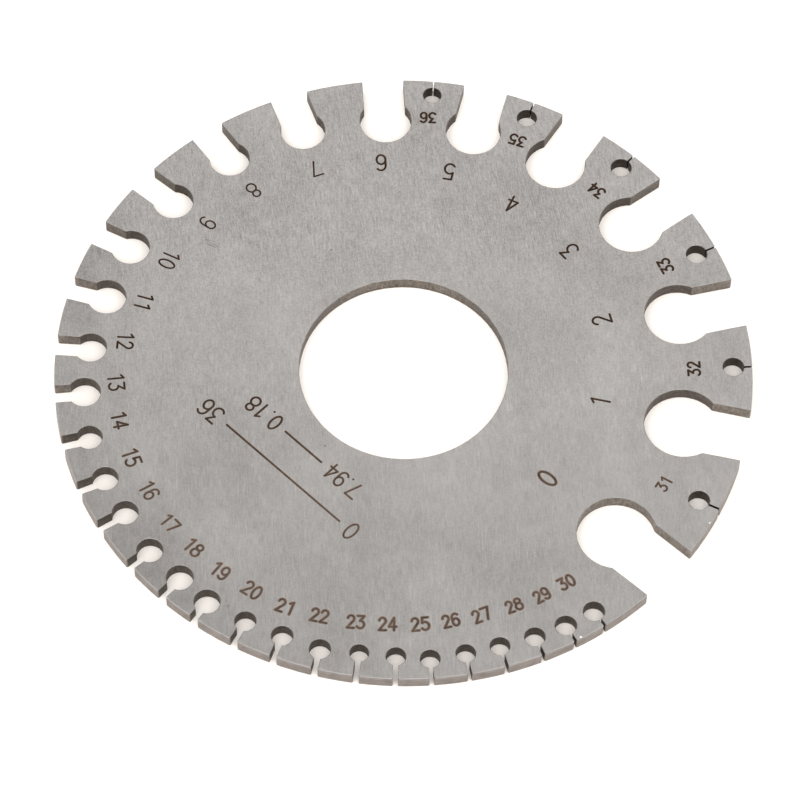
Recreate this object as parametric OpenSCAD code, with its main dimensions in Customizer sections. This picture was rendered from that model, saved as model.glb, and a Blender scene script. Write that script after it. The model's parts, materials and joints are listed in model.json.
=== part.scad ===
// Round wire and sheet gauge: a flat steel disc with graded slots round its rim.
// Every slot ends in a drilled relief hole, and a large hole stands in the middle.
// Millimetres. The origin is on the axis of the centre hole at the underside, and +Z is up.

/* [Plate] */
// diameter over the rim
plate_d = 85; // [80:0.5:95]
// thickness of the sheet
plate_t = 1.9; // [1.4:0.1:3]
// radius worked on both edges of the rim
rim_r = 0.3; // [0.1:0.05:0.6]

/* [Centre hole] */
// diameter of the centre hole
bore_d = 25.5; // [12:0.5:40]

/* [Slots] */
// edge break on the centre hole, the relief holes and the slots
edge_break = 0.06; // [0.02:0.02:0.14]
// corner break where a slot runs out through the rim
mouth_break = 0.12; // [0.04:0.02:0.24]
// wear added to the width of every slot
slot_wear = 0; // [0:0.01:0.1]
// wear added to the diameter of every relief hole
relief_wear = 0; // [0:0.05:0.3]

/* [Hidden] */
$fn = 96;

plate_r = plate_d / 2;
bore_r = bore_d / 2;

// last gauge number cut in the rim
last_gauge = 36;

// sheet gauge sizes count in parts of 1/1280 inch, from 400 parts at gauge 0
gauge_part = 25.4 / 1280;
first_size = 400;
// up to each gauge number, the parts that every number takes off
size_steps = [[1, 40], [14, 20], [16, 10], [20, 8], [26, 4], [31, 2], [36, 1]];
// up to each gauge number, the drill of the relief hole
drills = [[0, 9.6], [1, 9.4], [2, 8.5], [3, 8], [4, 7.5], [5, 6.9], [6, 6.5], [7, 5.6],
    [9, 5], [11, 4.8], [13, 4], [17, 3.2], [18, 3.3], [19, 3.2], [22, 2.6], [23, 2.3],
    [27, 2.4], [28, 2.5], [34, 2.6], [35, 2.5], [36, 2.3]];

// where the slots stand, in degrees from +X: gauges 0 to 30 go once round the plate
// and gauges 31 to 36 stand in the wide lands between the first slots
slot_at = [
    316.1, 345.4, 371.2, 394.6, 415.7, 433.8, 451.5, 467.9, 483.5, 497.9,
    510.9, 522.6, 533.9, 543.3, 552.7, 561.6, 569.4, 578.1, 585.6, 592.2,
    599.8, 606.7, 613.6, 620.3, 626.6, 632.4, 638.5, 644.5, 650.7, 656.4, 661.9,
    330.7, 358.6, 382.7, 405.2, 425.1, 442.8];

// how far inside the rim the relief holes are drilled
hole_in = [
    8.4, 7.9, 7.8, 7.3, 6.9, 6.6, 6.1, 5.5, 5.1, 5.1,
    4.6, 4.7, 4.2, 3.6, 3.3, 3.4, 3.5, 3, 3.1, 2.7,
    2.9, 3, 2.7, 3.1, 3, 2.6, 2.8, 2.8, 2.6, 2.4, 2.3,
    2.7, 2.3, 2.6, 2.4, 2.5, 2.1];

// value in force for a number in a list of [last number, value]
function in_force(list, n, i = 0) = n <= list[i][0] ? list[i][1] : in_force(list, n, i + 1);
// parts of an inch that a gauge number stands for
function gauge_size(n) = n == 0 ? first_size : gauge_size(n - 1) - in_force(size_steps, n);
// width of a slot
function slot_w(n) = gauge_size(n) * gauge_part + slot_wear;
// radius of a relief hole
function relief_r(n) = (in_force(drills, n) + relief_wear) / 2;

// half section of the disc, with its rim rounded
module rim_section() {
    square([plate_r - rim_r, plate_t]);
    translate([0, rim_r])
        square([plate_r, plate_t - 2 * rim_r]);
    for (z = [rim_r, plate_t - rim_r])
        translate([plate_r - rim_r, z])
            circle(r = rim_r);
}

// round cutter through the sheet that breaks both of its edges
module hole_cut(r) {
    flare = r + 2 * edge_break;
    rotate_extrude()
        polygon([
            [0, -edge_break], [flare, -edge_break], [r, edge_break],
            [r, plate_t - edge_break], [flare, plate_t + edge_break], [0, plate_t + edge_break]]);
}

// straight cutter along +X through the sheet that breaks both pairs of its edges
module slot_cut(w, length) {
    half = w / 2;
    flare = half + 2 * edge_break;
    rotate([90, 0, 90])
        linear_extrude(length)
            polygon([
                [-flare, -edge_break], [flare, -edge_break], [half, edge_break],
                [half, plate_t - edge_break], [flare, plate_t + edge_break],
                [-flare, plate_t + edge_break], [-half, plate_t - edge_break], [-half, edge_break]]);
}

// wedge that takes off both corners of a slot at the rim, which lies at the given reach
module mouth_cut(w, reach) {
    half = w / 2;
    translate([0, 0, -edge_break])
        linear_extrude(plate_t + 2 * edge_break)
            polygon([
                [reach - mouth_break - half / 2, -half / 2], [reach + 1, -half - mouth_break - 1],
                [reach + 1, half + mouth_break + 1], [reach - mouth_break - half / 2, half / 2]]);
}

// one gauge: its relief hole, and the slot from there out through the rim
module gauge_cut(n) {
    w = slot_w(n);
    reach = sqrt(plate_r * plate_r - w * w / 4) - plate_r + hole_in[n];
    rotate([0, 0, slot_at[n]])
        translate([plate_r - hole_in[n], 0, 0]) {
            hole_cut(relief_r(n));
            slot_cut(w, hole_in[n] + 1);
            mouth_cut(w, reach);
        }
}

module gauge_plate() {
    color([0.68, 0.66, 0.65])
        difference() {
            rotate_extrude()
                rim_section();
            hole_cut(bore_r);
            for (n = [0 : last_gauge])
                gauge_cut(n);
        }
}

gauge_plate();
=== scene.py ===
import json
import math
from collections import namedtuple

import bpy
from mathutils import Matrix, Vector

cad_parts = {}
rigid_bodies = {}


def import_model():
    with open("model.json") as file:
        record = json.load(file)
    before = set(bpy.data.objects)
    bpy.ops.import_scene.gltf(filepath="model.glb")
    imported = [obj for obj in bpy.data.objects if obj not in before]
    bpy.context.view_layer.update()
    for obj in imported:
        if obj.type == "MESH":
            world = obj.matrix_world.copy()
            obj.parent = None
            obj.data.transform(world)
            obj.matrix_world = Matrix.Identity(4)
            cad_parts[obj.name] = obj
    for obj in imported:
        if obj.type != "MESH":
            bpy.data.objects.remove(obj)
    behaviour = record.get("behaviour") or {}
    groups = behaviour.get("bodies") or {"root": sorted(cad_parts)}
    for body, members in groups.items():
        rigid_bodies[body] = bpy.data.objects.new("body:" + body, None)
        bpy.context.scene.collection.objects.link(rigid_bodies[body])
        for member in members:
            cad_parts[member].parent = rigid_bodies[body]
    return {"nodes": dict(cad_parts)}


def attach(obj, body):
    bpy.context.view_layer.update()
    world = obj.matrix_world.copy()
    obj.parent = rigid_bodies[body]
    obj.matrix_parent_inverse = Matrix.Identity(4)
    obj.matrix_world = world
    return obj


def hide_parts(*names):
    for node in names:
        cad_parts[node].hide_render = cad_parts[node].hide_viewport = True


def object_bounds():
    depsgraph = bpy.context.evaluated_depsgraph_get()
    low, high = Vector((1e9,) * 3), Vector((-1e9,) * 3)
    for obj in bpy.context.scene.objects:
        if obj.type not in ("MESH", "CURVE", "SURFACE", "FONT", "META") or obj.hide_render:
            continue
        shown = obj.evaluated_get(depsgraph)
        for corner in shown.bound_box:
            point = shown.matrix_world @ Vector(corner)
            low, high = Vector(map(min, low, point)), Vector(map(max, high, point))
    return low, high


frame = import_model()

cadLow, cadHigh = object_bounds()  # box of the solids
mm = 0.001
weldReach = 1e-7  # metres
scene = bpy.context.scene
print("frame loaded:", sorted(frame["nodes"]))


def clearSelection():
    if bpy.context.mode != "OBJECT":
        bpy.ops.object.mode_set(mode="OBJECT")
    bpy.ops.object.select_all(action="DESELECT")


def pick(piece):  # leaves this one selected and active
    clearSelection()
    piece.select_set(True)
    bpy.context.view_layer.objects.active = piece


def weld(piece):  # joins points that share a place
    pick(piece)
    bpy.ops.object.mode_set(mode="EDIT")
    bpy.ops.mesh.select_all(action="SELECT")
    bpy.ops.mesh.remove_doubles(threshold=weldReach)
    bpy.ops.object.mode_set(mode="OBJECT")


# camera

photoView = {
    "place": (-16.27, -287.78, 480.35),  # mm
    "turn": (30.66, -0.657, -2.056),  # degrees
    "lens": 206.48,  # mm
    "sensor": 36,
    "clip": (0.01, 60),  # metres
}


def makeCamera(view):
    clearSelection()
    bpy.ops.object.camera_add(
        location=[v * mm for v in view["place"]],
        rotation=[math.radians(v) for v in view["turn"]],
    )
    camera = bpy.context.object
    camera.name = "photoCamera"
    camera.data.lens = view["lens"]
    camera.data.sensor_width = view["sensor"]
    camera.data.clip_start, camera.data.clip_end = view["clip"]
    scene.camera = camera


makeCamera(photoView)
print("camera set")


# shader nodes

def put(tree, socket, value):  # a link from a socket, or else a plain value
    if isinstance(value, bpy.types.NodeSocket):
        tree.links.new(value, socket)
    else:
        socket.default_value = value


def addNode(tree, kind, settings=None, **values):  # values go to sockets by name
    node = tree.nodes.new("ShaderNode" + kind)
    for name, value in (settings or {}).items():
        setattr(node, name, value)
    for name, value in values.items():
        put(tree, node.inputs[name], value)
    return node


def mathNode(tree, operation, first, second=0.0, third=0.0, clamp=False):
    node = addNode(tree, "Math", {"operation": operation, "use_clamp": clamp})
    for socket, value in zip(node.inputs, (first, second, third)):
        put(tree, socket, value)
    return node.outputs[0]


def vectorNode(tree, operation, first, second=(0, 0, 0)):
    node = addNode(tree, "VectorMath", {"operation": operation})
    put(tree, node.inputs[0], first)
    put(tree, node.inputs[1], second)
    return node.outputs


def spread(tree, value, low, high, toLow=0.0, toHigh=1.0):  # stretches a range of values
    node = addNode(tree, "MapRange", {"clamp": True})
    for socket, number in zip(node.inputs, (value, low, high, toLow, toHigh)):
        put(tree, socket, number)
    return node.outputs[0]


def mixValue(tree, share, first, second):
    node = addNode(tree, "Mix", {"data_type": "FLOAT", "clamp_factor": True})
    put(tree, node.inputs[0], share)
    put(tree, node.inputs[2], first)
    put(tree, node.inputs[3], second)
    return node.outputs[0]


def mixColours(tree, share, first, second):
    node = addNode(tree, "Mix", {"data_type": "RGBA", "clamp_factor": True})
    put(tree, node.inputs[0], share)
    put(tree, node.inputs[6], first)
    put(tree, node.inputs[7], second)
    return node.outputs[2]


def addLayers(tree, tone, layers, shares):  # each layer by its share, kept from 0 to 1 in the end
    for name, layer in layers.items():
        tone = mathNode(tree, "MULTIPLY_ADD", layer, shares[name], tone)
    tone.node.use_clamp = True
    return tone


def objectPlace(tree):  # the place on the piece
    return addNode(tree, "TexCoord").outputs["Object"]


def splitUp(tree, point):  # by X, Y and Z
    return addNode(tree, "SeparateXYZ", Vector=point).outputs


def patternPoint(tree, size, turn=(0, 0, 0)):  # the place in units of the pattern's own size
    where = objectPlace(tree)
    settings = {"vector_type": "TEXTURE"}
    return addNode(tree, "Mapping", settings, Vector=where, Scale=size, Rotation=turn).outputs[0]


def evenPoint(tree, size):  # the same size each way
    return patternPoint(tree, addNode(tree, "CombineXYZ", X=size, Y=size, Z=size).outputs[0])


def noise(tree, point, detail, rough, distortion=0.0):
    node = addNode(tree, "TexNoise", Vector=point, Scale=1.0, Detail=detail, Roughness=rough)
    put(tree, node.inputs["Distortion"], distortion)
    return node.outputs[0]


# shared shader groups

def newGroup(name, inputs, outputs):  # every socket is a number
    tree = bpy.data.node_groups.new(name, "ShaderNodeTree")
    kind = "NodeSocketFloat"
    for label, value in inputs.items():
        tree.interface.new_socket(label, in_out="INPUT", socket_type=kind).default_value = value
    for label in outputs:
        tree.interface.new_socket(label, in_out="OUTPUT", socket_type=kind)
    given, made = tree.nodes.new("NodeGroupInput"), tree.nodes.new("NodeGroupOutput")
    return tree, given.outputs, made.inputs


grainForm = {
    "inputs": {"Across": 0.0002, "Along": 0.004, "Deep": 0.0002, "Turn": 0.0},  # metres, radians
    "fine": (3.0, 0.65),  # detail and roughness of the noise
    "streak": (0.28, 0.72),  # the span of it that shows
    "stretch": (0.7, 0.45, 0.7),  # for the single scratches
    "coarse": (1.0, 0.4),
    "scratch": (0.66, 0.76),
}


def makeBrushGrain(form):  # long fine scratches of a belt finish
    tree, given, made = newGroup("brushGrain", form["inputs"], ["Streak", "Scratch"])
    size = addNode(tree, "CombineXYZ", X=given["Across"], Y=given["Along"], Z=given["Deep"])
    turn = addNode(tree, "CombineXYZ", Z=given["Turn"])
    point = patternPoint(tree, size.outputs[0], turn.outputs[0])
    fine = noise(tree, point, *form["fine"])
    put(tree, made["Streak"], spread(tree, fine, *form["streak"]))
    wide = vectorNode(tree, "MULTIPLY", point, form["stretch"])["Vector"]
    lines = noise(tree, wide, *form["coarse"])
    put(tree, made["Scratch"], spread(tree, lines, *form["scratch"]))
    return tree


cloudForm = {
    "inputs": {"Size": 0.01, "Break up": 0.5},
    "detail": 4.0,
    "distortion": 0.3,
    "span": (0.3, 0.7),
}


def makeClouding(form):  # broad uneven patches
    tree, given, made = newGroup("clouding", form["inputs"], ["Cloud"])
    point = evenPoint(tree, given["Size"])
    cloud = noise(tree, point, form["detail"], given["Break up"], form["distortion"])
    put(tree, made["Cloud"], spread(tree, cloud, *form["span"]))
    return tree


pitForm = {
    "inputs": {"Size": 0.0004, "Share": 0.1},
    "grains": (2.0, 0.5),  # detail and roughness of the noise
    "level": 0.74,  # of the noise, from where it pits
    "sharp": 14.0,
}


def makePitting(form):  # scattered small dark pits
    tree, given, made = newGroup("pitting", form["inputs"], ["Pit"])
    grains = noise(tree, evenPoint(tree, given["Size"]), *form["grains"])
    start = mathNode(tree, "SUBTRACT", form["level"], given["Share"])
    over = mathNode(tree, "SUBTRACT", grains, start)
    put(tree, made["Pit"], mathNode(tree, "MULTIPLY", over, form["sharp"], clamp=True))
    return tree


groups = {
    "brushGrain": makeBrushGrain(grainForm),
    "clouding": makeClouding(cloudForm),
    "pitting": makePitting(pitForm),
}


def useGroup(tree, name, values):
    node = tree.nodes.new("ShaderNodeGroup")
    node.node_tree = groups[name]
    for label, value in values.items():
        put(tree, node.inputs[label], value)
    return node.outputs


def brushGrain(tree, across, along, deep, turn=0.0):
    values = {"Across": across, "Along": along, "Deep": deep, "Turn": turn}
    return useGroup(tree, "brushGrain", values)


def clouding(tree, size, breakUp):
    return useGroup(tree, "clouding", {"Size": size, "Break up": breakUp})["Cloud"]


def pitting(tree, size, share):
    return useGroup(tree, "pitting", {"Size": size, "Share": share})["Pit"]


print("shader groups made")


# finishes of the plate

def newMaterial(name, metallic, specular=0.5):
    material = bpy.data.materials.new(name)
    material.use_nodes = True
    tree = material.node_tree
    shader = tree.nodes["Principled BSDF"]
    put(tree, shader.inputs["Metallic"], metallic)
    put(tree, shader.inputs["Specular IOR Level"], specular)
    return material, tree, shader


def dress(tree, shader, colour, grain, roughness):  # the roughness follows the grain
    put(tree, shader.inputs["Base Color"], colour)
    put(tree, shader.inputs["Roughness"], spread(tree, grain, 0.0, 1.0, *roughness))


def addBump(tree, shader, height, strength, distance):
    bump = addNode(tree, "Bump", Strength=strength, Distance=distance, Height=height)
    put(tree, shader.inputs["Normal"], bump.outputs[0])


brushedFace = {
    "dark": (0.198, 0.185, 0.175, 1),
    "light": (0.505, 0.486, 0.469, 1),
    "roughness": (0.38, 0.5),
    "bump": (0.12, 0.00002),  # strength, and metres
    "grain": (0.00015, 0.0016, 0.001),  # metres across, along and into one scratch
    "slant": 6,  # degrees, over the far half
    "askew": (-0.004, 0.02),  # metres towards the far side, where that slant comes in
    "dust": (0.00022, 0.6),  # size in metres, and how far it breaks up
    "dustShare": 0.48,  # of the grain
    "depth": (0.38, 0.85),  # of the grain, near half and far half
    "depthOver": (-0.015, 0.015),  # metres
    "ground": 0.145,  # tone under the layers
    "broad": (0.016, 0.55),
    "small": (0.0028, 0.6),
    "smear": (0.0028, 0.014, 0.02, 0.1),  # as the grain, and its turn
    "edges": (-0.042, -0.005),  # metres, painted shade, darker towards the near and the left edge
    "shadeToward": (-0.966, -0.259, 0),  # towards the side of the painted shade along the rim
    "shadeOver": (0.018, 0.037),  # metres that way
    "shadeRim": (0.033, 0.0395),  # metres from the centre
    "shares": {
        "broad": 0.2, "small": 0.09, "smear": 0.11, "near": 0.12, "left": 0.06,
        "leftRimShade": -0.16, "scratch": 0.12,
    },
    "stain": (0.09, 0.07, 0.06, 1),
    "scar": (0.2, 0.185, 0.175, 1),
    "fleck": (0.92, 0.91, 0.9, 1),
    "wearEdge": (1.1, 0.5),  # from outside a mark to where it is full
    "wearDeep": 0.0004,  # metres
    "wear": [  # mm: place, half length and width, turn in degrees, share, kind
        (-23.08, 18.32, 1.0, 0.09, -26, 0.8, "scar"),
        (-22.65, 18.43, 0.85, 0.08, -31, 0.75, "scar"),
        (-23.3, 19.1, 0.9, 0.08, -24, 0.5, "scar"),
        (-8.36, 17.28, 0.17, 0.12, 0, 0.7, "stain"),
        (-17.71, 1.08, 0.16, 0.2, 0, 0.35, "stain"),
        (-9.88, -10.69, 0.13, 0.13, 0, 0.8, "stain"),
        (-21.92, -32.17, 0.28, 0.25, 0, 0.3, "stain"),
        (31.1, 13.93, 0.25, 0.2, 30, 0.22, "stain"),
        (19.52, -37.53, 0.17, 0.16, 0, 0.95, "fleck"),
        (35.79, -22.65, 0.15, 0.15, 0, 0.9, "fleck"),
    ],
}


def addWear(tree, where, colour, look):  # single specks and scratches from handling, and near-white flecks
    for x, y, long, wide, turn, share, kind in look["wear"]:
        place = addNode(
            tree, "Mapping", {"vector_type": "TEXTURE"}, Vector=where,
            Location=(x * mm, y * mm, cadHigh.z),
            Rotation=(0, 0, math.radians(turn)),
            Scale=(long * mm, wide * mm, look["wearDeep"]),
        )
        reach = vectorNode(tree, "LENGTH", place.outputs[0])["Value"]
        mark = spread(tree, reach, *look["wearEdge"], 0.0, share)
        colour = mixColours(tree, mark, colour, look[kind])
    return colour


def makeBrushedFace(look):
    material, tree, shader = newMaterial("brushedFace", 1.0)
    where = objectPlace(tree)
    place = splitUp(tree, where)
    far = place["Y"]
    straight = brushGrain(tree, *look["grain"])
    slanted = brushGrain(tree, *look["grain"], math.radians(look["slant"]))
    askew = spread(tree, far, *look["askew"])  # the belt ran a little askew over the far half
    streak = mixValue(tree, askew, straight["Streak"], slanted["Streak"])
    scratch = mixValue(tree, askew, straight["Scratch"], slanted["Scratch"])
    dusted = mixValue(tree, look["dustShare"], streak, clouding(tree, *look["dust"]))
    grain = mathNode(tree, "SUBTRACT", dusted, 0.5)  # to both sides of the tone
    depth = spread(tree, far, *look["depthOver"], *look["depth"])
    # painted shade along the rim on the left side of the face
    toShade = vectorNode(tree, "DOT_PRODUCT", where, look["shadeToward"])["Value"]
    leftRimShade = spread(tree, toShade, *look["shadeOver"])
    reach = vectorNode(tree, "LENGTH", where)["Value"]
    layers = {
        "broad": clouding(tree, *look["broad"]),
        "small": clouding(tree, *look["small"]),
        "smear": brushGrain(tree, *look["smear"])["Streak"],
        # painted shade: the face darker towards the near and the left edge
        "near": spread(tree, far, *look["edges"]),
        "left": spread(tree, place["X"], *look["edges"]),
        "leftRimShade": mathNode(tree, "MULTIPLY", leftRimShade, spread(tree, reach, *look["shadeRim"])),
        "scratch": scratch,
    }
    tone = mathNode(tree, "MULTIPLY_ADD", grain, depth, look["ground"])
    tone = addLayers(tree, tone, layers, look["shares"])
    colour = addWear(tree, where, mixColours(tree, tone, look["dark"], look["light"]), look)
    dress(tree, shader, colour, streak, look["roughness"])
    addBump(tree, shader, streak, *look["bump"])
    return material


cutWall = {
    "name": "cutWall",
    "dark": (0.035, 0.03, 0.026, 1),
    "light": (0.31, 0.277, 0.247, 1),
    "roughness": (0.42, 0.62),
    "shade": 0.55,  # painted shade over the far walls and round the centre hole
}
paintedShadeWall = {  # hole walls, darkened with painted shade
    "name": "paintedShadeWall",
    "dark": (0.026, 0.021, 0.018, 1),
    "light": (0.17, 0.147, 0.128, 1),
    "roughness": (0.45, 0.65),
    "shade": 0.55,
}
fineWall = {  # the holes of the finest gauges, darkest of all with painted shade
    "name": "fineWall",
    "dark": (0.006, 0.0045, 0.003, 1),
    "light": (0.13, 0.108, 0.088, 1),
    "roughness": (0.45, 0.65),
    "shade": 0,
}
sawnWall = {  # the finest slots, near black
    "name": "sawnWall",
    "dark": (0.003, 0.0024, 0.002, 1),
    "light": (0.024, 0.02, 0.016, 1),
    "roughness": (0.55, 0.75),
    "shade": 0,
}
wallWork = {  # what the tools leave on all of these walls, and where painted shade falls on them
    "lines": (0.00012, 0.00012, 0.0012),  # metres across, along and down
    "patches": (0.0005, 0.7),
    "shares": {"lines": 0.35, "patches": 0.65},
    "pits": (0.0003, 0.12),  # size in metres, and share
    "pitShade": 0.6,
    "bump": (0.3, 0.00003),
    # where the painted shade falls: round the centre hole, on its sides and foot, and over the far
    # walls
    "boreReach": (0.016, 0.014),  # metres from the centre
    "boreSides": (0.006, 0.012),
    "boreFoot": (0.0005, 0.0001, 0.0, 0.6),
    "farWalls": (0.013, 0.026, 0.0, 0.8),
}


def shadeWalls(tree, work):  # how much painted shade a wall takes by its place
    where = objectPlace(tree)
    place = splitUp(tree, where)
    inBore = spread(tree, vectorNode(tree, "LENGTH", where)["Value"], *work["boreReach"])
    sides = spread(tree, mathNode(tree, "ABSOLUTE", place["X"]), *work["boreSides"])
    foot = spread(tree, place["Z"], *work["boreFoot"])
    farWalls = spread(tree, place["Y"], *work["farWalls"])
    ofBore = mathNode(tree, "MAXIMUM", sides, foot)
    return mathNode(tree, "MULTIPLY_ADD", inBore, ofBore, farWalls, clamp=True)


def makeCutWall(look, work=wallWork):  # punched and drilled walls, with tool lines down them
    material, tree, shader = newMaterial(look["name"], 1.0)
    layers = {
        "lines": brushGrain(tree, *work["lines"])["Streak"],
        "patches": clouding(tree, *work["patches"]),
    }
    tone = addLayers(tree, 0.0, layers, work["shares"])
    colour = mixColours(tree, tone, look["dark"], look["light"])
    pits = mathNode(tree, "MULTIPLY", pitting(tree, *work["pits"]), work["pitShade"])
    colour = mixColours(tree, pits, colour, look["dark"])
    # painted shade, darker over the far walls and on the sides and foot of the centre hole
    if look["shade"]:
        paintedShade = mathNode(tree, "MULTIPLY", shadeWalls(tree, work), look["shade"])
        colour = mixColours(tree, paintedShade, colour, look["dark"])
    dress(tree, shader, colour, layers["patches"], look["roughness"])
    addBump(tree, shader, layers["lines"], *work["bump"])
    return material


rimWall = {
    "dark": (0.138, 0.122, 0.113, 1),
    "light": (0.308, 0.283, 0.267, 1),
    # rubbed metal with a painted highlight, at the edges of the rim
    "bright": (0.322, 0.31, 0.3, 1),
    "roughness": (0.5, 0.64),
    "bump": (0.2, 0.00002),
    "lines": (0.004, 0.004, 0.00012),
    "patches": (0.0012, 0.65),
    "shares": {"lines": 0.4, "patches": 0.6},
    "middle": 0.00095,  # metres, half way up the rim
    "rubbed": (0.00084, 0.00091),  # metres from there, at the edges
    "softer": (0.00025, 0.00084, 0.0, 0.25),  # and before them
    "worn": (0.0, 0.5, 0.6, 1.0),  # patches that are rubbed less
}


def makeRimWall(look):  # ground round the rim, rubbed bright where it turns to the faces, with a painted highlight there
    material, tree, shader = newMaterial("rimWall", 1.0)
    level = splitUp(tree, objectPlace(tree))["Z"]
    layers = {
        "lines": brushGrain(tree, *look["lines"])["Streak"],
        "patches": clouding(tree, *look["patches"]),
    }
    tone = addLayers(tree, 0.0, layers, look["shares"])
    colour = mixColours(tree, tone, look["dark"], look["light"])
    fromMiddle = mathNode(tree, "ABSOLUTE", mathNode(tree, "SUBTRACT", level, look["middle"]))
    # painted highlight along both edges of the rim, partly real rubbed wear, less in the worn
    # patches
    edge = spread(tree, fromMiddle, *look["rubbed"])
    rubbed = mathNode(tree, "MAXIMUM", edge, spread(tree, fromMiddle, *look["softer"]))
    worn = spread(tree, layers["patches"], *look["worn"])
    colour = mixColours(tree, mathNode(tree, "MULTIPLY", rubbed, worn), colour, look["bright"])
    dress(tree, shader, colour, layers["patches"], look["roughness"])
    addBump(tree, shader, layers["lines"], *look["bump"])
    return material


brokenEdge = {
    "dark": (0.14, 0.122, 0.11, 1),
    "light": (0.34, 0.32, 0.305, 1),
    "roughness": (0.4, 0.55),
    "patches": (0.0016, 0.65),
}


def makeBrokenEdge(look):  # the small chamfers, bright in places and dull in others
    material, tree, shader = newMaterial("brokenEdge", 1.0)
    patches = clouding(tree, *look["patches"])
    colour = mixColours(tree, patches, look["dark"], look["light"])
    dress(tree, shader, colour, patches, look["roughness"])
    return material


burntMark = {
    "dark": (0.006, 0.0036, 0.0024, 1),
    "light": (0.032, 0.02, 0.013, 1),
    "faded": (0.038, 0.025, 0.0185, 1),  # rubbed paler over the near half
    "pale": (0.097, 0.069, 0.054, 1),
    "edge": (0.2, 0.14, 0.1, 1),  # heat tint along the sides of a stroke
    "paleEdge": (0.255, 0.205, 0.17, 1),
    "roughness": (0.6, 0.8),
    "specular": 0.08,
    "bump": (0.4, 0.00001),
    "patches": (0.0007, 0.6),
    "pits": (0.00012, 0.1),
    "pitShade": 0.5,
    "nearHalf": (-0.002, -0.019, 0.0, 0.85),  # metres, and how far it is rubbed there
    "tint": (0.001862, 0.001896),  # metres above the floor, foot and top of the tint
    "tintDown": -0.00001,  # the tint runs further down where it is rubbed
}


def makeBurntMark(look):  # brown-black skin in the cut numerals
    material, tree, shader = newMaterial("burntMark", 0.0, look["specular"])
    place = splitUp(tree, objectPlace(tree))
    patches = clouding(tree, *look["patches"])
    pits = mathNode(tree, "MULTIPLY", pitting(tree, *look["pits"]), look["pitShade"])
    tone = mathNode(tree, "SUBTRACT", patches, pits, clamp=True)
    near = spread(tree, place["Y"], *look["nearHalf"])
    fresh = mixColours(tree, tone, look["dark"], look["light"])
    rubbed = mixColours(tree, tone, look["faded"], look["pale"])
    tint = mixColours(tree, near, look["edge"], look["paleEdge"])
    foot, top = look["tint"]
    foot = mathNode(tree, "MULTIPLY_ADD", near, look["tintDown"], foot)
    shallow = spread(tree, place["Z"], foot, top)
    colour = mixColours(tree, shallow, mixColours(tree, near, fresh, rubbed), tint)
    dress(tree, shader, colour, patches, look["roughness"])
    addBump(tree, shader, patches, *look["bump"])
    return material


finishes = {
    "brushedFace": makeBrushedFace(brushedFace),
    "cutWall": makeCutWall(cutWall),
    "rimWall": makeRimWall(rimWall),
    "brokenEdge": makeBrokenEdge(brokenEdge),
    "burntMark": makeBurntMark(burntMark),
    "paintedShadeWall": makeCutWall(paintedShadeWall),
    "fineWall": makeCutWall(fineWall),
    "sawnWall": makeCutWall(sawnWall),
}
finishNumber = {name: number for number, name in enumerate(finishes)}
print("finishes made:", len(finishes))


# plate

plateForm = {
    "node": "gauge_plate",
    "rimRadius": 0.3,  # mm, on both edges of the solid's rim
    "rimEdge": 0.1,  # mm, the crisper edge that is seen there
    "slack": 1e-6,  # metres, for points that lie on the start of the rounding
    "smoothAngle": 28,
    "even": 0.9999,  # how far a face looks up or down if it is quite level
    "flat": 0.97,  # at least, for the brushed finish
    "flatAtRim": 0.985,
    "chamfer": 0.4,  # at least, for a broken edge
    "outward": 0.15,  # how far a face of the rim looks out at least
    "slots": [  # degrees from +X, gauges 0 to 36
        316.1, 345.4, 11.2, 34.6, 55.7, 73.8, 91.5, 107.9, 123.5, 137.9,
        150.9, 162.6, 173.9, 183.3, 192.7, 201.6, 209.4, 218.1, 225.6, 232.2,
        239.8, 246.7, 253.6, 260.3, 266.6, 272.4, 278.5, 284.5, 290.7, 296.4, 301.9,
        330.7, 358.6, 22.7, 45.2, 65.1, 82.8,
    ],
    "wide": {"gauges": range(1, 14), "within": 8.5, "from": 0.028},  # holes: degrees, metres out
    "small": {"gauges": range(14, 31), "within": 2.6, "from": 0.036},
    "fine": {"gauges": range(31, 37), "within": 2.6, "from": 0.036},
    "wideSlot": (3.89, 0.198),  # mm, half the slot at gauge 0 and what each gauge takes off
    "fineSlot": 0.16,
    "slotSide": 0.1,  # how far the side of a slot looks along it at most
}


def copyPlate(form):
    plate = bpy.data.objects.new("gaugePlate", frame["nodes"][form["node"]].data.copy())
    scene.collection.objects.link(plate)
    plate.data.materials.clear()
    for finish in finishes.values():
        plate.data.materials.append(finish)
    weld(plate)
    bpy.ops.mesh.customdata_custom_splitnormals_clear()
    return plate


def sharpenRim(plate, form):  # lifts the rounding of the rim to a crisper edge
    points = plate.data.vertices
    middle, half = (cadHigh.z + cadLow.z) / 2, (cadHigh.z - cadLow.z) / 2
    wide, keen, slack = form["rimRadius"] * mm, form["rimEdge"] * mm, form["slack"]
    start = max(math.hypot(point.co.x, point.co.y) for point in points) - wide
    for point in points:
        over = math.hypot(point.co.x, point.co.y) - start
        rise = abs(point.co.z - middle) - (half - wide)
        if over > -slack and rise > -slack:
            beyond = min(max(over - (wide - keen), 0), keen)
            level = half - keen + math.sqrt(keen * keen - beyond * beyond)
            point.co.z = middle + math.copysign(level, point.co.z - middle)


def gaugeAt(out, group, form):  # the gauge of a group that this place belongs to, if any
    angle = math.degrees(math.atan2(out.y, out.x))
    aside, gauge = min(
        (abs((angle - form["slots"][gauge] + 180) % 360 - 180), gauge) for gauge in group["gauges"]
    )
    return gauge if aside < group["within"] and out.length > group["from"] else None


def onSlotSide(face, out, gauge, half, form):
    slot = math.radians(form["slots"][gauge])
    along = Vector((math.cos(slot), math.sin(slot), 0))
    return abs(face.normal.dot(along)) < form["slotSide"] and out.cross(along).length / mm < half


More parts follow.
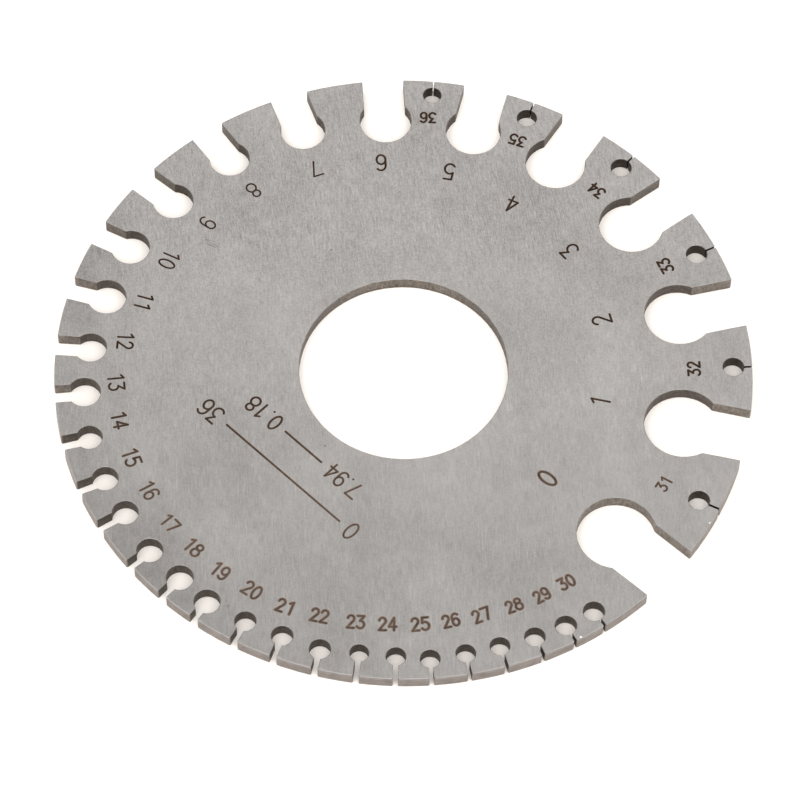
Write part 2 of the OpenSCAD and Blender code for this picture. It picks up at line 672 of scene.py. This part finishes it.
def wallFinish(face, out, form):  # hole walls take painted shade and are darker than slots, and fine ones darker still
    gauge = gaugeAt(out, form["fine"], form)
    if gauge is not None:
        return "sawnWall" if onSlotSide(face, out, gauge, form["fineSlot"], form) else "fineWall"
    if gaugeAt(out, form["small"], form) is not None:
        return "paintedShadeWall"
    gauge = gaugeAt(out, form["wide"], form)
    first, step = form["wideSlot"]
    if gauge is None or onSlotSide(face, out, gauge, first - step * gauge, form):
        return "cutWall"
    return "paintedShadeWall"


def sortFaces(plate, form):  # gives each face the finish of its place
    rimStart = (cadHigh.x - cadLow.x) / 2 - form["rimRadius"] * mm
    for face in plate.data.polygons:
        if face.material_index == finishNumber["burntMark"]:
            continue
        out = Vector((face.center.x, face.center.y, 0))
        rise = abs(face.normal.z)
        if out.length > rimStart and face.normal.dot(out / out.length) > form["outward"]:
            finish = "brushedFace" if rise > form["flatAtRim"] else "rimWall"
        elif rise > form["flat"]:
            finish = "brushedFace"
        elif rise > form["chamfer"]:
            finish = "brokenEdge"
        else:
            finish = wallFinish(face, out, form)
        face.material_index = finishNumber[finish]


def keepFlats(plate, form):  # a hard line round every flat, so that it shades evenly
    sides = {}
    for face in plate.data.polygons:
        flat = abs(face.normal.z) > form["even"]
        for key in face.edge_keys:
            sides.setdefault(key, set()).add(flat)
    for edge in plate.data.edges:
        if len(sides[edge.key]) == 2:
            edge.use_edge_sharp = True


# numerals

digitStrokes = {  # in heights: points, or arcs as centre, radii, start and end in degrees
    "0": [[(0.25, 0.5, 0.25, 0.5, 90, 450)]],
    "1": [[(0, 0.84), (0.22, 1)], [(0.22, 1), (0.22, 0)]],
    "2": [[(0.24, 0.74, 0.23, 0.26, 170, -38), (0, 0)], [(0, 0), (0.48, 0)]],
    "3": [[(0, 1), (0.47, 1)], [(0.47, 1), (0.2, 0.6)], [(0.22, 0.31, 0.275, 0.3, 95, -145)]],
    "4": [[(0.36, 1), (0, 0.29)], [(0, 0.29), (0.52, 0.29)], [(0.36, 1), (0.36, 0)]],
    "5": [[(0.48, 1), (0.07, 1)], [(0.07, 1), (0.04, 0.58)], [(0.235, 0.32, 0.28, 0.32, 132, -145)]],
    "6": [[(0.24, 0.3, 0.24, 0.3, 0, 360)], [(0.27, 0.68, 0.26, 0.32, 42, 180), (0, 0.3)]],
    "7": [[(0, 1), (0.58, 1)], [(0.58, 1), (0.26, 0)]],
    "8": [[(0.275, 0.78, 0.22, 0.22, 0, 360)], [(0.275, 0.29, 0.275, 0.29, 0, 360)]],
    "9": [[(0.24, 0.7, 0.24, 0.3, 0, 360)], [(0.48, 0.7), (0.23, 0.3, 0.25, 0.3, 0, -142)]],
    ".": [[(0.05, 0.02), (0.06, 0.02)]],
}
digitWidth = {
    "0": 0.5, "1": 0.22, "2": 0.48, "3": 0.49, "4": 0.52, "5": 0.51,
    "6": 0.48, "7": 0.58, "8": 0.55, "9": 0.48, ".": 0.1,
}
digitSize = namedtuple("digitSize", "height stroke widen")

numeralCut = {
    "deep": 0.05,  # mm
    "proud": 0.25,  # how far the middle of a cutter stands over the face, in depths
    "arcStep": 12,  # degrees
    "arcLeast": 4,  # steps
    "tubeSteps": 4,
    "endSteps": (0.5, 1.0, 1.5),  # radians round the end of a stroke
    "taper": 0.9,
    "gap": 0.225,  # between digits, in heights
    "narrowGap": 0.27,  # more of it beside a 1
    "sizes": [  # up to each gauge: height and stroke in mm, and how far the digits are widened
        (0, 2.47, 0.45, 1), (6, 2.29, 0.33, 1), (9, 2.13, 0.265, 1), (10, 2.05, 0.29, 1),
        (13, 1.9, 0.31, 1), (14, 1.7, 0.36, 1.08), (16, 1.86, 0.37, 1), (17, 1.62, 0.4, 1.05),
        (20, 1.74, 0.43, 1), (25, 1.65, 0.46, 1), (27, 1.57, 0.45, 1), (30, 1.49, 0.45, 1),
        (31, 1.36, 0.34, 1.04), (36, 1.45, 0.35, 1.05),
    ],
    "places": [  # mm from the centre along the slot and to its right, and the tilt in degrees
        (23.07, 0.09, 2.3), (24.28, 0.67, 0), (25.26, 1.32, 1), (26.67, 1.46, 2.9),
        (27.41, 1.35, 7.1), (29.22, 1.49, 4.3), (30.08, 0.93, 0.5), (31.03, 0.4, 0.7),
        (31.8, 0.24, 5.5), (32, -0.33, 3.3), (32.76, -0.51, 0.6), (33.17, -0.64, -1.5),
        (34.13, -1.18, 1.4), (34.96, -0.97, 0.9), (35.12, -1.3, -1.9), (35.09, -1.38, -2.6),
        (35.04, -1.1, -0.5), (35.34, -1.27, 2.1), (35.35, -1.5, -2.5), (35.61, -1.13, -1.2),
        (35.6, -1.29, -7.4), (35.77, -1.19, 0.4), (35.52, -1.17, 2), (35.38, -0.96, 3.6),
        (35.24, -1.07, 1), (35.23, -0.79, 1.3), (35.13, -0.9, 3.7), (35.14, -0.87, 6.4),
        (35.14, -0.59, 0), (35.25, -0.55, 1.4), (35.23, -0.47, -3.4), (35.1, -0.02, -3.9),
        (35.36, -0.24, 2.2), (35.64, 0.06, 0), (35.44, 0.01, 0), (36.39, -0.16, 2.8),
        (36.95, 0.24, 3.6),
    ],
    "rangeStroke": 0.34,
    "ranges": [  # start and end of a line in mm, its height, and what it says
        ((-6.7, -22.9), (-24.5, -4.4), 2.3, ("0", "36")),
        ((-6.1, -17.4), (-18.8, -4.1), 2.1, ("7.94", "0.18")),
    ],
    "dash": (0.6, 0.5),  # its gap from the digits and its level, in heights
}


def fullTurn(step):
    return len(step) == 6 and abs(step[5] - step[4]) == 360


def strokePoints(path, size, cut):
    points = []
    for step in path:
        if len(step) == 2:
            points.append(step)
            continue
        cx, cy, rx, ry, start, end = step
        count = max(cut["arcLeast"], round(abs(end - start) / cut["arcStep"]))
        for i in range(count if fullTurn(step) else count + 1):
            angle = math.radians(start + (end - start) * i / count)
            points.append((cx + rx * math.cos(angle), cy + ry * math.sin(angle)))
    return [Vector((x * size.widen, y, 0)) * size.height * mm for x, y in points]


def roundEnd(tip, inner, half, cut):  # points past the tip, with their share of the stroke
    outward = (tip - inner).normalized()
    return [
        (tip + outward * half * math.sin(angle), 1 - (1 - math.cos(angle)) * cut["taper"])
        for angle in cut["endSteps"]
    ]


def strokeMesh(path, size, cut):  # one stroke as a flattened tube with round ends
    deep, half = cut["deep"] * mm, size.stroke * mm / 2
    above = deep * cut["proud"]
    line = strokePoints(path, size, cut)
    points = [(point, 1.0) for point in line]
    loop = fullTurn(path[0])
    if not loop:
        start = roundEnd(line[0], line[1], half, cut)
        points = start[::-1] + points + roundEnd(line[-1], line[-2], half, cut)
    curve = bpy.data.curves.new("stroke", "CURVE")
    curve.dimensions = "3D"
    curve.fill_mode = "FULL"
    curve.use_fill_caps = True
    curve.bevel_depth = half
    curve.bevel_resolution = cut["tubeSteps"]
    curve.twist_mode = "Z_UP"
    spline = curve.splines.new("POLY")
    spline.points.add(len(points) - 1)
    for knot, (point, share) in zip(spline.points, points):
        knot.co = (*point, 1)
        knot.radius = share
    spline.use_cyclic_u = loop
    tube = bpy.data.objects.new("stroke", curve)
    scene.collection.objects.link(tube)
    pick(tube)
    bpy.ops.object.convert(target="MESH")
    tube = bpy.context.object
    tube.scale.z = (deep + above) / half
    tube.location.z = cadHigh.z + above
    bpy.ops.object.transform_apply(location=True, rotation=True, scale=True)
    weld(tube)  # closes the caps
    mesh = tube.data
    mesh.materials.clear()
    mesh.materials.append(finishes["burntMark"])
    bpy.data.objects.remove(tube)
    return mesh


digitMeshes = {}  # each digit is made once for each size


def digitParts(digit, size, cut):
    if (digit, size) not in digitMeshes:
        digitMeshes[digit, size] = [strokeMesh(path, size, cut) for path in digitStrokes[digit]]
    return digitMeshes[digit, size]


def placeMesh(mesh, place, cutters):
    cutter = bpy.data.objects.new("cutter", mesh.copy())
    cutters.objects.link(cutter)
    cutter.matrix_world = place


def digitStarts(text, size, cut):  # mm along the text where each digit begins, and where it ends
    starts, x = [], 0
    for i, digit in enumerate(text):
        if i:
            x += cut["gap"] + cut["narrowGap"] * ((digit == "1") + (text[i - 1] == "1")) / 2
        starts.append(x * size.height * size.widen)
        x += digitWidth[digit]
    return starts, x * size.height * size.widen


def layDigits(text, size, place, cutters, cut):  # place is at the left foot of the text
    for digit, x in zip(text, digitStarts(text, size, cut)[0]):
        for mesh in digitParts(digit, size, cut):
            placeMesh(mesh, place @ Matrix.Translation((x * mm, 0, 0)), cutters)


def labelPlace(centre, up, width, height):
    right = Vector((up.y, -up.x, 0))
    foot = centre - right * width / 2 - up * height / 2
    turn = Matrix((right, up, Vector((0, 0, 1)))).transposed().to_4x4()
    return Matrix.Translation(foot * mm) @ turn


def layGaugeNumbers(cutters, cut, slots):
    for gauge, (angle, (reach, aside, tilt)) in enumerate(zip(slots, cut["places"])):
        size = next(digitSize(*values) for last, *values in cut["sizes"] if gauge <= last)
        out = Vector((math.cos(math.radians(angle)), math.sin(math.radians(angle)), 0))
        right = Vector((-out.y, out.x, 0))
        centre = out * reach + right * aside
        up = Matrix.Rotation(math.radians(tilt), 3, "Z") @ -out
        text = str(gauge)
        width = digitStarts(text, size, cut)[1]
        layDigits(text, size, labelPlace(centre, up, width, size.height), cutters, cut)


def layRanges(cutters, cut):  # the span of the gauge, from end to end, by number and in mm
    gap, level = cut["dash"]
    for start, end, height, (first, last) in cut["ranges"]:
        size = digitSize(height, cut["rangeStroke"], 1)
        start, end = Vector((*start, 0)), Vector((*end, 0))
        along = (end - start).normalized()
        up = Vector((-along.y, along.x, 0))
        length = (end - start).length
        place = labelPlace(start + along * length / 2, up, length, height)
        lead, tail = (digitStarts(text, size, cut)[1] for text in (first, last))
        layDigits(first, size, place, cutters, cut)
        toLast = Matrix.Translation(((length - tail) * mm, 0, 0))
        layDigits(last, size, place @ toLast, cutters, cut)
        dash = [(lead / height + gap, level), ((length - tail) / height - gap, level)]
        placeMesh(strokeMesh(dash, size, cut), place, cutters)


def cutNumerals(plate, cut, slots):
    cutters = bpy.data.collections.new("numeralCutters")
    scene.collection.children.link(cutters)
    layGaugeNumbers(cutters, cut, slots)
    layRanges(cutters, cut)
    modifier = plate.modifiers.new("numerals", "BOOLEAN")
    modifier.operation = "DIFFERENCE"
    modifier.operand_type = "COLLECTION"
    modifier.collection = cutters
    modifier.solver = "MANIFOLD"
    modifier.material_mode = "TRANSFER"
    pick(plate)
    bpy.ops.object.modifier_apply(modifier=modifier.name)
    for cutter in list(cutters.objects):
        bpy.data.objects.remove(cutter)
    bpy.data.collections.remove(cutters)


plate = copyPlate(plateForm)
sharpenRim(plate, plateForm)
cutNumerals(plate, numeralCut, plateForm["slots"])
sortFaces(plate, plateForm)
pick(plate)
bpy.ops.object.shade_smooth_by_angle(angle=math.radians(plateForm["smoothAngle"]))
keepFlats(plate, plateForm)
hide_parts(plateForm["node"])
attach(plate, "root")
print("plate made:", len(plate.data.polygons), "faces")


# floor and light

studio = {
    "floor": (0.945, 0.89, 0.838, 1),
    "floorShade": 0.97,  # of that colour, in patches
    "floorPatches": (0.4, 0.4),  # size in metres, and how far they break up
    "floorRoughness": 0.9,
    "floorSize": 30,  # metres
    "floorLevel": -0.00004,  # just clear of the plate
    "key": 17.5,  # watts
    "keyPlace": (-0.1, -0.55, 1.25),
    "keySize": (2.0, 1.5),
    "sky": (2.2, 0.86),  # strength from the horizon to overhead
    "skyRise": (0.0, 0.9),
    "skyColour": (1, 1, 1, 1),
}


def makeFloor(look):
    clearSelection()
    bpy.ops.mesh.primitive_plane_add(size=look["floorSize"], location=(0, 0, look["floorLevel"]))
    floor = bpy.context.object
    floor.name = "floor"
    bpy.ops.object.transform_apply(location=True)
    material, tree, shader = newMaterial("paleFloor", 0.0, 0.0)
    put(tree, shader.inputs["Roughness"], look["floorRoughness"])
    pale = look["floor"]
    shade = tuple(v * look["floorShade"] for v in pale[:3]) + (1,)
    patches = clouding(tree, *look["floorPatches"])
    put(tree, shader.inputs["Base Color"], mixColours(tree, patches, shade, pale))
    floor.data.materials.append(material)


def makeKey(look):
    clearSelection()
    place = Vector(look["keyPlace"])
    turn = (-place).to_track_quat("-Z", "Y").to_euler()
    bpy.ops.object.light_add(type="AREA", location=place, rotation=turn)
    key = bpy.context.object
    key.name = "softKey"
    key.data.shape = "RECTANGLE"
    key.data.size, key.data.size_y = look["keySize"]
    key.data.energy = look["key"]


def makeSky(look):
    world = bpy.data.worlds.new("studio")
    scene.world = world
    world.use_nodes = True
    tree = world.node_tree
    shader = tree.nodes["Background"]
    direction = addNode(tree, "TexCoord").outputs["Generated"]
    rise = splitUp(tree, direction)["Z"]
    put(tree, shader.inputs["Strength"], spread(tree, rise, *look["skyRise"], *look["sky"]))
    put(tree, shader.inputs["Color"], look["skyColour"])


makeFloor(studio)
makeKey(studio)
makeSky(studio)
scene.view_settings.view_transform = "Standard"
scene.view_settings.look = "None"
print("floor and light set")
